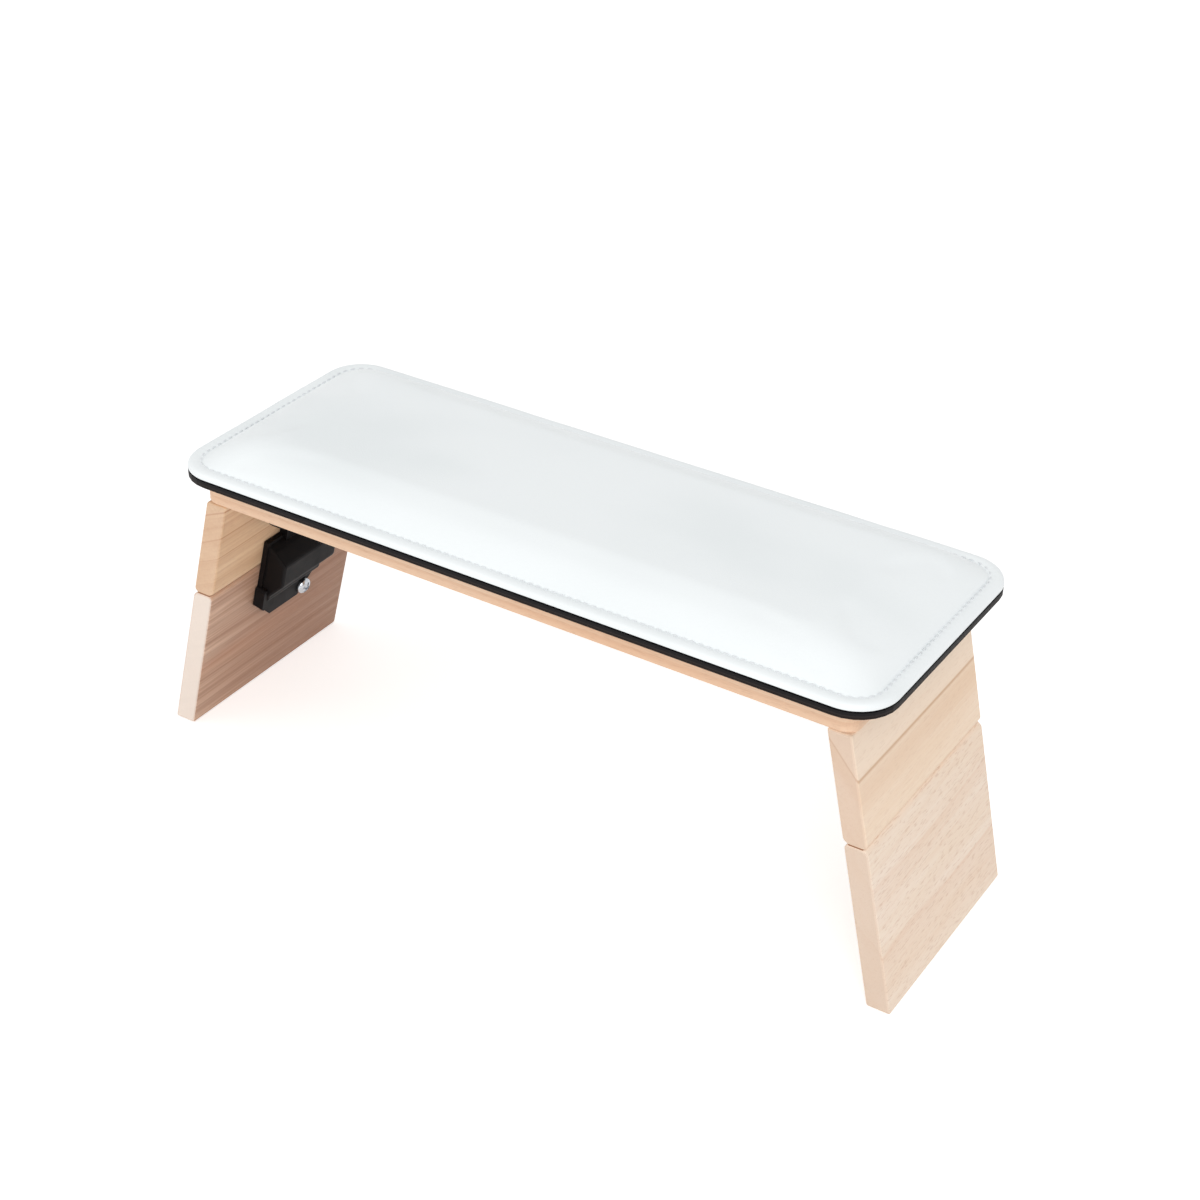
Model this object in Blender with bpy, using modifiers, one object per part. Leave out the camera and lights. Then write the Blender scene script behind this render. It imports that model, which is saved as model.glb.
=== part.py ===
"""Folding manicure hand rest: a padded wooden board on two splayed wooden legs.

Each leg is two boards joined edge to edge with dowels. It hangs on a folding
bracket under the board, so it swings in and lies flat beneath the pad.

Frame: metres, +Z up, +X along the pad, -Y towards the sitter. The origin is on
the table top, under the middle of the pad.
"""
import math

import bmesh
import bpy
from mathutils import Matrix

# Clearances
GAP = 0.0003
HOLE_ROOM = 0.0003
# Forms joined into one piece are set in by this, so that no faces coincide
LAP = 0.0002

# Pad
PAD_LENGTH = 0.326
PAD_DEPTH = 0.1246
# The pad is glued on a little off the board's middle
PAD_SHIFT = 0.0024
PAD_CORNER_RADIUS = 0.018
BASE_THICKNESS = 0.0028
COVER_THICKNESS = 0.0012
RIM_WIDTH = 0.0085
RIM_HEIGHT = 0.0031
RIM_ROUNDING = 0.0022
CROWN_HEIGHT = 0.0139
CROWN_RUN = 0.034
CROWN_ROUNDING = 3
CROWN_SPACING = 1.6
CROWN_STEPS = 7
PAD_INNER_RADIUS = 0.006
PAD_CORNER_STEPS = 7

# Board under the pad
BOARD_LENGTH = 0.305
BOARD_THICKNESS = 0.0137
BOARD_CORNER_RADIUS = 0.006
WOOD_EASE = 0.0008

# Legs
UNDERSIDE_HEIGHT = 0.120
LEG_DEPTH = 0.103
LEG_THICKNESS = 0.010
LEG_SPLAY = math.radians(13.0)
LEG_TOP_X = 0.1411
LEG_TOP_GAP = 0.0004
LEG_JOINT_DROP = 0.0482
LEG_GROOVE = 0.0016
DOWEL_RADIUS = 0.003
DOWEL_LENGTH = 0.024
DOWEL_CHAMFER = 0.0006
DOWEL_SPACING = 0.062

# Hinge pin and knuckle
PIVOT_DROP = 0.0190
KNUCKLE_RADIUS = 0.0042
KNUCKLE_WIDTH = 0.018
PIN_RADIUS = 0.002
PIN_HEAD_RADIUS = 0.0032
PIN_HEAD_HEIGHT = 0.0016
SPACER_RADIUS = 0.0032

# Board bracket, pressed from sheet
SHEET = 0.0015
BRACKET_WIDTH = 0.043
PLATE_START = 0.0012
PLATE_LENGTH = 0.054
PLATE_CORNER_RADIUS = 0.004
EAR_TOP_LENGTH = 0.016
EAR_FOOT = 0.0034
BOARD_SCREW_FIRST = 0.012
BOARD_SCREW_PITCH = 0.032
BOARD_SCREW_SPREAD = 0.024

# Leg bracket, one moulding: flange, housing, knuckle and corner tab.
# A start or end is a distance down the leg's face from the board.
FLANGE_WIDTH = 0.039
FLANGE_THICKNESS = 0.0024
FLANGE_START = 0.035
FLANGE_LENGTH = 0.0455
FLANGE_CHAMFER = 0.0095
HOUSING_WIDTH = 0.0376
HOUSING_START = 0.0358
SHOULDER_HEIGHT = 0.0062
SHOULDER_START = 0.0385
HOUSING_HEIGHT = 0.0127
HOUSING_FLAT_START = 0.0425
HOUSING_FLAT_END = 0.0545
SILL_START = 0.0640
SILL_END = 0.0665
HOUSING_END = 0.0690
HOUSING_ROUNDING = 0.0010
WALL = 0.0020
RIB_THICKNESS = 0.0024
TAB_WIDTH = 0.0080
TAB_OVERHANG = 0.0014
TAB_START = 0.0600
TAB_END = 0.0713
TAB_HEIGHT = 0.0054
TAB_ROUNDING = 0.0016
NECK_THICKNESS = 0.0040

# Wood screws
SCREW_RADIUS = 0.0015
SCREW_POINT = 0.003
SCREW_HEAD_RADIUS = 0.0034
SCREW_HEAD_HEIGHT = 0.0021
SCREW_LIP_SHARE = 0.2
BOARD_SCREW_LENGTH = 0.010
LEG_SCREW_LENGTH = 0.0095
NECK_SCREW_DROP = 0.0290
NECK_SCREW_SPREAD = 0.0100
NECK_HEAD_RADIUS = 0.0028
LOWER_SCREW_DROP = 0.0760
LOWER_SCREW_Y = 0.0125
LOWER_HEAD_RADIUS = 0.0040
LOWER_HEAD_HEIGHT = 0.0029

# Points of a mesh nearer than this are one point
WELD = 0.000001
# Faces that meet at less than this lie in one plane
FLAT_ANGLE = math.radians(1.0)
# Edges sharper than these are eased, or drawn sharp
EASE_ANGLE = math.radians(30.0)
SHARP_ANGLE = math.radians(40.0)

# Facets round a circle
ROUND_STEPS = 16
ARC_STEPS = 4
DOME_STEPS = 4

# Places worked out from the sizes above
BOARD_DEPTH = LEG_DEPTH
LEG_JOINT_HEIGHT = UNDERSIDE_HEIGHT - LEG_JOINT_DROP
STANDOFF = KNUCKLE_RADIUS + GAP
BACK = -KNUCKLE_RADIUS
PIVOT_HEIGHT = UNDERSIDE_HEIGHT - PIVOT_DROP
PIVOT_RUN = (PIVOT_DROP - STANDOFF * math.sin(LEG_SPLAY)) / math.cos(LEG_SPLAY)
PIVOT_X = LEG_TOP_X + PIVOT_RUN * math.sin(LEG_SPLAY) - STANDOFF * math.cos(LEG_SPLAY)
PLATE_TOP = PIVOT_DROP - GAP
PLATE_BOTTOM = PLATE_TOP - SHEET
BOARD_TOP = UNDERSIDE_HEIGHT + BOARD_THICKNESS
BASE_BOTTOM = BOARD_TOP + GAP
COVER_BOTTOM = BASE_BOTTOM + BASE_THICKNESS + GAP

WHITE_LEATHER = ("white_leather", (0.90, 0.90, 0.91, 1.0), 0.45, 0.0)
FOAM = ("foam", (0.93, 0.90, 0.78, 1.0), 0.95, 0.0)
BLACK_BACKING = ("black_backing", (0.025, 0.022, 0.022, 1.0), 0.75, 0.0)
PALE_WOOD = ("pale_wood", (0.80, 0.60, 0.42, 1.0), 0.6, 0.0)
LEG_WOOD = ("leg_wood", (0.72, 0.52, 0.38, 1.0), 0.6, 0.0)
DOWEL_WOOD = ("dowel_wood", (0.78, 0.64, 0.45, 1.0), 0.7, 0.0)
BLACK_STEEL = ("black_steel", (0.02, 0.02, 0.022, 1.0), 0.4, 0.4)
BLACK_MOULDING = ("black_moulding", (0.02, 0.02, 0.023, 1.0), 0.38, 0.0)
CHROME = ("chrome", (0.80, 0.80, 0.82, 1.0), 0.15, 1.0)
DARK_ZINC = ("dark_zinc", (0.30, 0.30, 0.32, 1.0), 0.35, 1.0)


def clear_scene():
    """Removes every object that the file opened with."""
    for item in list(bpy.data.objects):
        bpy.data.objects.remove(item, do_unlink=True)


def make_collection(name):
    """Adds a collection to the scene."""
    collection = bpy.data.collections.new(name)
    bpy.context.scene.collection.children.link(collection)
    return collection


def material(finish):
    """Makes the Principled material of one finish."""
    name, colour, roughness, metallic = finish
    made = bpy.data.materials.new(name)
    made.use_nodes = True
    shader = made.node_tree.nodes["Principled BSDF"]
    shader.inputs["Base Color"].default_value = colour
    shader.inputs["Roughness"].default_value = roughness
    shader.inputs["Metallic"].default_value = metallic
    return made


def add_part(name, mesh, finish, parent=None, tilt=0.0):
    """Adds a visible piece, tilted about Y in its parent's frame."""
    part = bpy.data.objects.new(name, mesh)
    PARTS.objects.link(part)
    mesh.materials.append(material(finish))
    part.parent = parent
    part.rotation_euler = (0.0, tilt, 0.0)
    return part


def add_cutter(name, mesh, parent=None, tilt=0.0):
    """Adds a hidden solid that another piece is cut or joined with."""
    cutter = bpy.data.objects.new(name, mesh)
    CUTTERS.objects.link(cutter)
    cutter.parent = parent
    cutter.rotation_euler = (0.0, tilt, 0.0)
    cutter.hide_render = True
    cutter.display_type = "WIRE"
    return cutter


def boolean(target, operand, operation="DIFFERENCE"):
    """Cuts the target by the operand, or joins the two."""
    step = target.modifiers.new(operand.name, "BOOLEAN")
    step.operation = operation
    step.object = operand


def ease_edges(part, width, segments=2):
    """Rounds a piece's sharp edges."""
    step = part.modifiers.new("ease", "BEVEL")
    step.width = width
    step.segments = segments
    step.limit_method = "ANGLE"
    step.angle_limit = EASE_ANGLE


def rounded(points, radius, steps=ARC_STEPS):
    """Rounds each corner of an outline with an arc of the given radius."""
    outline = []
    count = len(points)
    for index, (x, y) in enumerate(points):
        before = points[index - 1]
        after = points[(index + 1) % count]
        back = math.atan2(before[1] - y, before[0] - x)
        ahead = math.atan2(after[1] - y, after[0] - x)
        turn = (ahead - back + math.pi) % (2.0 * math.pi) - math.pi
        reach = radius / math.tan(abs(turn) / 2.0)
        middle = back + turn / 2.0
        centre_x = x + math.cos(middle) * radius / math.sin(abs(turn) / 2.0)
        centre_y = y + math.sin(middle) * radius / math.sin(abs(turn) / 2.0)
        start_x = x + math.cos(back) * reach
        start_y = y + math.sin(back) * reach
        first = math.atan2(start_y - centre_y, start_x - centre_x)
        sweep = -math.copysign(math.pi - abs(turn), turn)
        for step in range(steps + 1):
            angle = first + sweep * step / steps
            outline.append((centre_x + radius * math.cos(angle), centre_y + radius * math.sin(angle)))
    return outline


def arc(centre, radius, start, end, steps):
    """Points of an arc between two angles, in degrees."""
    points = []
    for step in range(steps + 1):
        angle = math.radians(start + (end - start) * step / steps)
        points.append((centre[0] + radius * math.cos(angle), centre[1] + radius * math.sin(angle)))
    return points


TO_XY = Matrix.Identity(4)
TO_XZ = Matrix.Rotation(math.pi / 2.0, 4, "X")
TO_YZ = Matrix.Rotation(math.pi / 2.0, 4, "Z") @ Matrix.Rotation(math.pi / 2.0, 4, "X")


def sheet_mesh(outline, thickness, plane=TO_XY, shift=(0.0, 0.0, 0.0)):
    """Turns a flat outline into a solid, centred across its thickness."""
    curve = bpy.data.curves.new("outline", "CURVE")
    curve.dimensions = "2D"
    curve.fill_mode = "BOTH"
    curve.extrude = thickness / 2.0
    spline = curve.splines.new("POLY")
    spline.points.add(len(outline) - 1)
    for point, (x, y) in zip(spline.points, outline):
        point.co = (x, y, 0.0, 1.0)
    spline.use_cyclic_u = True
    holder = bpy.data.objects.new("outline", curve)
    CUTTERS.objects.link(holder)
    evaluated = holder.evaluated_get(bpy.context.evaluated_depsgraph_get())
    mesh = bpy.data.meshes.new_from_object(evaluated)
    bpy.data.objects.remove(holder, do_unlink=True)
    bm = bmesh.new()
    bm.from_mesh(mesh)
    bmesh.ops.remove_doubles(bm, verts=bm.verts, dist=WELD)
    bmesh.ops.dissolve_limit(bm, angle_limit=FLAT_ANGLE, verts=bm.verts, edges=bm.edges)
    bmesh.ops.recalc_face_normals(bm, faces=bm.faces)
    bm.to_mesh(mesh)
    bm.free()
    mesh.transform(Matrix.Translation(shift) @ plane)
    return mesh


def rod_mesh(radius, start, end, axis="Z", centre=(0.0, 0.0, 0.0), steps=ROUND_STEPS):
    """Makes a cylinder along an axis, between two distances on it."""
    turn = {"X": Matrix.Rotation(math.pi / 2.0, 4, "Y"), "Z": Matrix.Identity(4),
            "Y": Matrix.Rotation(-math.pi / 2.0, 4, "X")}[axis]
    place = Matrix.Translation(centre) @ turn @ Matrix.Translation((0.0, 0.0, (start + end) / 2.0))
    bm = bmesh.new()
    bmesh.ops.create_cone(bm, cap_ends=True, segments=steps, radius1=radius, radius2=radius,
                          depth=abs(end - start), matrix=place)
    mesh = bpy.data.meshes.new("rod")
    bm.to_mesh(mesh)
    bm.free()
    return mesh


def turned(name, profile, finish, parent, tilt, place):
    """Turns a profile of (radius, height) points, top to bottom, about its own Z."""
    mesh = bpy.data.meshes.new(name)
    edges = [(index, index + 1) for index in range(len(profile) - 1)]
    mesh.from_pydata([(radius, 0.0, height) for radius, height in profile], edges, [])
    part = bpy.data.objects.new(name, mesh)
    PARTS.objects.link(part)
    mesh.materials.append(material(finish))
    part.parent = parent
    part.matrix_local = Matrix.Rotation(tilt, 4, "Y") @ place
    step = part.modifiers.new("turn", "SCREW")
    step.axis = "Z"
    step.steps = ROUND_STEPS
    step.render_steps = ROUND_STEPS
    step.use_merge_vertices = True
    step.merge_threshold = WELD
    return part


def screw_profile(head_radius, head_height, length):
    """Profile of a dome-headed wood screw whose head sits on z = 0."""
    lip = head_height * SCREW_LIP_SHARE
    dome = [(head_radius * math.sin(angle), lip + (head_height - lip) * math.cos(angle))
            for angle in (math.radians(90.0 * step / DOME_STEPS) for step in range(DOME_STEPS + 1))]
    dome.append((head_radius, 0.0))
    shank = [(SCREW_RADIUS, 0.0), (SCREW_RADIUS, SCREW_POINT - length), (0.0, -length)]
    return dome + shank


def rounded_ring(half_length, half_depth, radius, height):
    """Points of a rounded rectangle at one height, under the pad's middle."""
    ring = []
    corners = ((1, 1, 0.0), (-1, 1, 90.0), (-1, -1, 180.0), (1, -1, 270.0))
    for sign_x, sign_y, start in corners:
        centre = (sign_x * (half_length - radius), sign_y * (half_depth - radius))
        for x, y in arc(centre, radius, start, start + 90.0, PAD_CORNER_STEPS):
            ring.append((x + PAD_SHIFT, y, height))
    return ring


def loft_mesh(name, rings):
    """Joins rings of equal count into one closed solid, capped at both ends."""
    bm = bmesh.new()
    loops = [[bm.verts.new(point) for point in ring] for ring in rings]
    count = len(loops[0])
    for lower, upper in zip(loops, loops[1:]):
        for index in range(count):
            after = (index + 1) % count
            bm.faces.new((lower[index], lower[after], upper[after], upper[index]))
    bm.faces.new(loops[0])
    bm.faces.new(loops[-1])
    bmesh.ops.recalc_face_normals(bm, faces=bm.faces)
    mesh = bpy.data.meshes.new(name)
    bm.to_mesh(mesh)
    bm.free()
    mesh.shade_smooth()
    mesh.set_sharp_from_angle(angle=SHARP_ANGLE)
    return mesh


def pad_ring(inset, height):
    """The pad's outline, drawn in by an inset, at a height above the table."""
    radius = max(PAD_CORNER_RADIUS - inset, PAD_INNER_RADIUS)
    return rounded_ring(PAD_LENGTH / 2.0 - inset, PAD_DEPTH / 2.0 - inset, radius, height)


def pad_profile(shrink):
    """Section of the padded top from edge to crown, as insets and heights."""
    side = RIM_ROUNDING - shrink
    centre = (side + shrink, RIM_HEIGHT - RIM_ROUNDING)
    section = [(shrink, 0.0)]
    section += [(x, z) for x, z in arc(centre, side, 180.0, 90.0, ARC_STEPS)]
    valley = RIM_HEIGHT - shrink
    for step in range(CROWN_STEPS + 1):
        share = step / CROWN_STEPS
        rise = (CROWN_HEIGHT - RIM_HEIGHT) * (1.0 - (1.0 - share) ** CROWN_ROUNDING)
        section.append((RIM_WIDTH + shrink + CROWN_RUN * share ** CROWN_SPACING, valley + rise))
    return section


def build_pad():
    """White cover over foam, on a black backing sheet glued to the board."""
    base = [pad_ring(0.0, BASE_BOTTOM), pad_ring(0.0, BASE_BOTTOM + BASE_THICKNESS)]
    add_part("pad_backing", loft_mesh("pad_backing", base), BLACK_BACKING)
    outside = pad_profile(0.0)
    inside = pad_profile(COVER_THICKNESS)
    cover = [pad_ring(inset, COVER_BOTTOM + rise) for inset, rise in reversed(inside)]
    cover += [pad_ring(inset, COVER_BOTTOM + rise) for inset, rise in outside]
    add_part("pad_cover", loft_mesh("pad_cover", cover), WHITE_LEATHER)
    foam = [pad_ring(inset, COVER_BOTTOM + rise) for inset, rise in pad_profile(COVER_THICKNESS + GAP)]
    add_part("pad_foam", loft_mesh("pad_foam", foam), FOAM)


def build_board():
    """The wooden board that the pad is glued to."""
    half_length = BOARD_LENGTH / 2.0
    half_depth = BOARD_DEPTH / 2.0
    corners = [(half_length, half_depth), (-half_length, half_depth),
               (-half_length, -half_depth), (half_length, -half_depth)]
    centre = (0.0, 0.0, UNDERSIDE_HEIGHT + BOARD_THICKNESS / 2.0)
    mesh = sheet_mesh(rounded(corners, BOARD_CORNER_RADIUS), BOARD_THICKNESS, TO_XY, centre)
    board = add_part("top_board", mesh, PALE_WOOD)
    ease_edges(board, WOOD_EASE)
    return board


def hinge_frame(side, turn):
    """Empty on the hinge pin's axis. Its +X points inward, under the board."""
    frame = bpy.data.objects.new(side + "_hinge", None)
    PARTS.objects.link(frame)
    place = Matrix.Rotation(turn, 4, "Z") @ Matrix.Translation((-PIVOT_X, 0.0, PIVOT_HEIGHT))
    frame.matrix_world = place
    return frame


def along_leg(height, across):
    """Distance up the leg from the pin, for a height above the table."""
    rise = height - PIVOT_HEIGHT + across * math.sin(LEG_SPLAY)
    return rise / math.cos(LEG_SPLAY)


def down(distance):
    """Place along the leg from the pin, for a distance down its face from the board."""
    return PIVOT_RUN - distance


def leg_point(across, height, lift=0.0):
    """A point of the leg's side view: across it, at a height above the table."""
    return (across, along_leg(height, across) + lift)


def build_leg_boards(side, frame):
    """Two boards joined on a level line, with eased edges that leave a groove."""
    inner = -STANDOFF
    outer = inner - LEG_THICKNESS
    joint = LEG_JOINT_HEIGHT
    top = UNDERSIDE_HEIGHT - LEG_TOP_GAP
    near = inner - LEG_GROOVE
    far = outer + LEG_GROOVE
    half_gap = GAP / 2.0
    upper = [leg_point(inner, top), leg_point(outer, top), leg_point(outer, joint, half_gap + LEG_GROOVE),
             leg_point(far, joint, half_gap), leg_point(near, joint, half_gap),
             leg_point(inner, joint, half_gap + LEG_GROOVE)]
    lower = [leg_point(inner, joint, -half_gap - LEG_GROOVE), leg_point(near, joint, -half_gap),
             leg_point(far, joint, -half_gap), leg_point(outer, joint, -half_gap - LEG_GROOVE),
             leg_point(outer, 0.0), leg_point(inner, 0.0)]
    boards = []
    for label, outline in (("upper", upper), ("lower", lower)):
        mesh = sheet_mesh(outline, LEG_DEPTH, TO_XZ)
        board = add_part(f"{side}_leg_{label}_board", mesh, LEG_WOOD, frame, LEG_SPLAY)
        ease_edges(board, WOOD_EASE)
        boards.append(board)
    middle = (inner + outer) / 2.0
    build_dowels(side, frame, boards, middle, along_leg(joint, middle))
    return boards[0], boards[1]


def build_dowels(side, frame, boards, across, joint):
    """Two dowels that hold the leg's boards together, in holes of their own."""
    half = DOWEL_LENGTH / 2.0
    for label, sign in (("front", -1.0), ("back", 1.0)):
        centre = (across, sign * DOWEL_SPACING / 2.0, joint)
        profile = [(0.0, half), (DOWEL_RADIUS - DOWEL_CHAMFER, half), (DOWEL_RADIUS, half - DOWEL_CHAMFER),
                   (DOWEL_RADIUS, DOWEL_CHAMFER - half), (DOWEL_RADIUS - DOWEL_CHAMFER, -half), (0.0, -half)]
        turned(f"{side}_leg_dowel_{label}", profile, DOWEL_WOOD, frame, LEG_SPLAY, Matrix.Translation(centre))
        hole = rod_mesh(DOWEL_RADIUS + HOLE_ROOM, -half - GAP, half + GAP, "Z", centre)
        cutter = add_cutter(f"{side}_dowel_hole_{label}", hole, frame, LEG_SPLAY)
        for board in boards:
            boolean(board, cutter)


def ear_outline():
    """An ear's outline: round behind the pin, flat below it, widening to the plate."""
    far = PLATE_START + EAR_TOP_LENGTH
    back_lean = math.degrees(math.atan2(PLATE_START + KNUCKLE_RADIUS, PLATE_TOP))
    end = arc((0.0, 0.0), KNUCKLE_RADIUS, 180.0 - back_lean, 270.0, 2 * ARC_STEPS)
    end.append((EAR_FOOT, -KNUCKLE_RADIUS))
    return [(far, PLATE_TOP - LAP), (PLATE_START + LAP, PLATE_TOP - LAP)] + end


def board_screw_places():
    """Screw places on the board bracket's plate, inward and across."""
    places = []
    for column in range(2):
        for sign in (-1.0, 1.0):
            places.append((BOARD_SCREW_FIRST + column * BOARD_SCREW_PITCH, sign * BOARD_SCREW_SPREAD / 2.0))
    return places


def build_board_bracket(side, frame, board):
    """Pressed bracket: a plate under the board, with two ears for the pin."""
    end = PLATE_START + PLATE_LENGTH
    half = BRACKET_WIDTH / 2.0
    plate = [(PLATE_START, -half), (end - PLATE_CORNER_RADIUS, -half)]
    plate += arc((end - PLATE_CORNER_RADIUS, PLATE_CORNER_RADIUS - half), PLATE_CORNER_RADIUS, 270.0, 360.0,
                 ARC_STEPS)
    plate += arc((end - PLATE_CORNER_RADIUS, half - PLATE_CORNER_RADIUS), PLATE_CORNER_RADIUS, 0.0, 90.0,
                 ARC_STEPS)
    plate += [(PLATE_START, half)]
    mesh = sheet_mesh(plate, SHEET, TO_XY, (0.0, 0.0, PLATE_TOP - SHEET / 2.0))
    bracket = add_part(f"{side}_board_bracket", mesh, BLACK_STEEL, frame)
    for label, sign in (("front", -1.0), ("back", 1.0)):
        ear = sheet_mesh(ear_outline(), SHEET, TO_XZ, (0.0, sign * (half - LAP - SHEET / 2.0), 0.0))
        boolean(bracket, add_cutter(f"{side}_ear_{label}", ear, frame), "UNION")
    bore = rod_mesh(PIN_RADIUS + HOLE_ROOM, -half - SHEET, half + SHEET, "Y")
    boolean(bracket, add_cutter(f"{side}_ear_bore", bore, frame))
    build_board_screws(side, frame, bracket, board)


def build_board_screws(side, frame, bracket, board):
    """Screws from below, through the plate into the board."""
    head_up = Matrix.Rotation(math.pi, 4, "X")
    profile = screw_profile(SCREW_HEAD_RADIUS, SCREW_HEAD_HEIGHT, BOARD_SCREW_LENGTH)
    seat = PLATE_BOTTOM - GAP
    for number, (x, y) in enumerate(board_screw_places(), start=1):
        place = Matrix.Translation((x, y, seat)) @ head_up
        turned(f"{side}_board_screw_{number}", profile, DARK_ZINC, frame, 0.0, place)
        top = seat + BOARD_SCREW_LENGTH + GAP
        hole = rod_mesh(SCREW_RADIUS + HOLE_ROOM, seat - GAP, top, "Z", (x, y, 0.0))
        cutter = add_cutter(f"{side}_board_screw_hole_{number}", hole, frame)
        boolean(bracket, cutter)
        boolean(board, cutter)


def build_pin(side, frame):
    """Riveted pin through both ears, with a spacer on each side of the knuckle."""
    reach = BRACKET_WIDTH / 2.0 + GAP
    end = reach + PIN_HEAD_HEIGHT
    face = PIN_HEAD_RADIUS - PIN_HEAD_HEIGHT / 2.0
    profile = [(0.0, end), (face, end), (PIN_HEAD_RADIUS, reach + PIN_HEAD_HEIGHT / 2.0),
               (PIN_HEAD_RADIUS, reach), (PIN_RADIUS, reach), (PIN_RADIUS, -reach),
               (PIN_HEAD_RADIUS, -reach), (PIN_HEAD_RADIUS, -reach - PIN_HEAD_HEIGHT / 2.0),
               (face, -end), (0.0, -end)]
    lying = Matrix.Rotation(-math.pi / 2.0, 4, "X")
    turned(f"{side}_hinge_pin", profile, BLACK_STEEL, frame, 0.0, lying)
    near = KNUCKLE_WIDTH / 2.0 + GAP
    far = BRACKET_WIDTH / 2.0 - SHEET - GAP
    bore = PIN_RADIUS + HOLE_ROOM
    for label, sign in (("front", -1.0), ("back", 1.0)):
        centre = Matrix.Translation((0.0, sign * (near + far) / 2.0, 0.0))
        half = (far - near) / 2.0
        ring = [(bore, -half), (bore, half), (SPACER_RADIUS, half), (SPACER_RADIUS, -half), (bore, -half)]
        turned(f"{side}_hinge_spacer_{label}", ring, BLACK_STEEL, frame, 0.0, centre @ lying)


def housing_outline(skin):
    """Side view of the housing, drawn in by a skin's thickness."""
    back = BACK + LAP if skin == 0.0 else BACK - SHEET
    shoulder = BACK + SHOULDER_HEIGHT - skin
    face = BACK + HOUSING_HEIGHT - skin
    return [(back, down(HOUSING_START) - skin), (shoulder, down(SHOULDER_START) - skin),
            (face, down(HOUSING_FLAT_START) - skin / 2.0), (face, down(HOUSING_FLAT_END)),
            (shoulder, down(SILL_START) + skin / 2.0), (shoulder, down(SILL_END) + skin),
            (back, down(HOUSING_END) + skin)]


def flange_mesh():
    """Flange on the leg's face, with both lower corners cut off."""
    half = FLANGE_WIDTH / 2.0
    top = down(FLANGE_START)
    end = top - FLANGE_LENGTH
    outline = [(-half, top), (-half, end + FLANGE_CHAMFER), (FLANGE_CHAMFER - half, end),
               (half - FLANGE_CHAMFER, end), (half, end + FLANGE_CHAMFER), (half, top)]
    return sheet_mesh(outline, FLANGE_THICKNESS, TO_YZ, (BACK + FLANGE_THICKNESS / 2.0, 0.0, 0.0))


def neck_outline():
    """Knuckle round the pin, with the neck that joins it to the flange."""
    foot = down(HOUSING_FLAT_START)
    front = BACK + NECK_THICKNESS
    lean = math.degrees(math.asin(front / KNUCKLE_RADIUS))
    eye = arc((0.0, 0.0), KNUCKLE_RADIUS, -90.0 + lean, 180.0, 3 * ARC_STEPS)
    return eye + [(BACK + LAP, foot), (front, foot)]


def tab_mesh():
    """Square tab at the lower front corner of the housing."""
    outer = -FLANGE_WIDTH / 2.0 - TAB_OVERHANG
    corners = [(outer, down(TAB_START)), (outer, down(TAB_END)), (outer + TAB_WIDTH, down(TAB_END)),
               (outer + TAB_WIDTH, down(TAB_START))]
    outline = rounded(corners, TAB_ROUNDING)
    return sheet_mesh(outline, TAB_HEIGHT, TO_YZ, (BACK + LAP + TAB_HEIGHT / 2.0, 0.0, 0.0))


def hollow_housing(side, frame, bracket):
    """Two pockets from behind, left by a rib under the middle of the housing."""
    width = (HOUSING_WIDTH - 2.0 * WALL - RIB_THICKNESS) / 2.0
    offset = (width + RIB_THICKNESS) / 2.0
    for label, sign in (("front", -1.0), ("back", 1.0)):
        pocket = sheet_mesh(housing_outline(WALL), width, TO_XZ, (0.0, sign * offset, 0.0))
        boolean(bracket, add_cutter(f"{side}_pocket_{label}", pocket, frame, LEG_SPLAY))


def leg_screw_places():
    """Leg screws: two on the neck, one on the lower flange. Each has its own seat and head."""
    spread = NECK_SCREW_SPREAD / 2.0
    neck = BACK + NECK_THICKNESS + GAP
    flange = BACK + FLANGE_THICKNESS + GAP
    return [("front", (neck, -spread, down(NECK_SCREW_DROP)), NECK_HEAD_RADIUS, SCREW_HEAD_HEIGHT, DARK_ZINC),
            ("back", (neck, spread, down(NECK_SCREW_DROP)), NECK_HEAD_RADIUS, SCREW_HEAD_HEIGHT, DARK_ZINC),
            ("lower", (flange, LOWER_SCREW_Y, down(LOWER_SCREW_DROP)), LOWER_HEAD_RADIUS, LOWER_HEAD_HEIGHT,
             CHROME)]


def build_leg_screws(side, frame, bracket, upper_board, lower_board):
    """Screws through the leg bracket, two into the upper board and one into the lower."""
    head_inward = Matrix.Rotation(math.pi / 2.0, 4, "Y")
    for label, place, head_radius, head_height, finish in leg_screw_places():
        board = lower_board if label == "lower" else upper_board
        profile = screw_profile(head_radius, head_height, LEG_SCREW_LENGTH)
        turned(f"{side}_leg_screw_{label}", profile, finish, frame, LEG_SPLAY,
               Matrix.Translation(place) @ head_inward)
        seat, across, along = place
        tip = seat - LEG_SCREW_LENGTH - GAP
        hole = rod_mesh(SCREW_RADIUS + HOLE_ROOM, tip, seat + GAP, "X", (0.0, across, along))
        cutter = add_cutter(f"{side}_leg_screw_hole_{label}", hole, frame, LEG_SPLAY)
        boolean(bracket, cutter)
        boolean(board, cutter)


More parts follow.
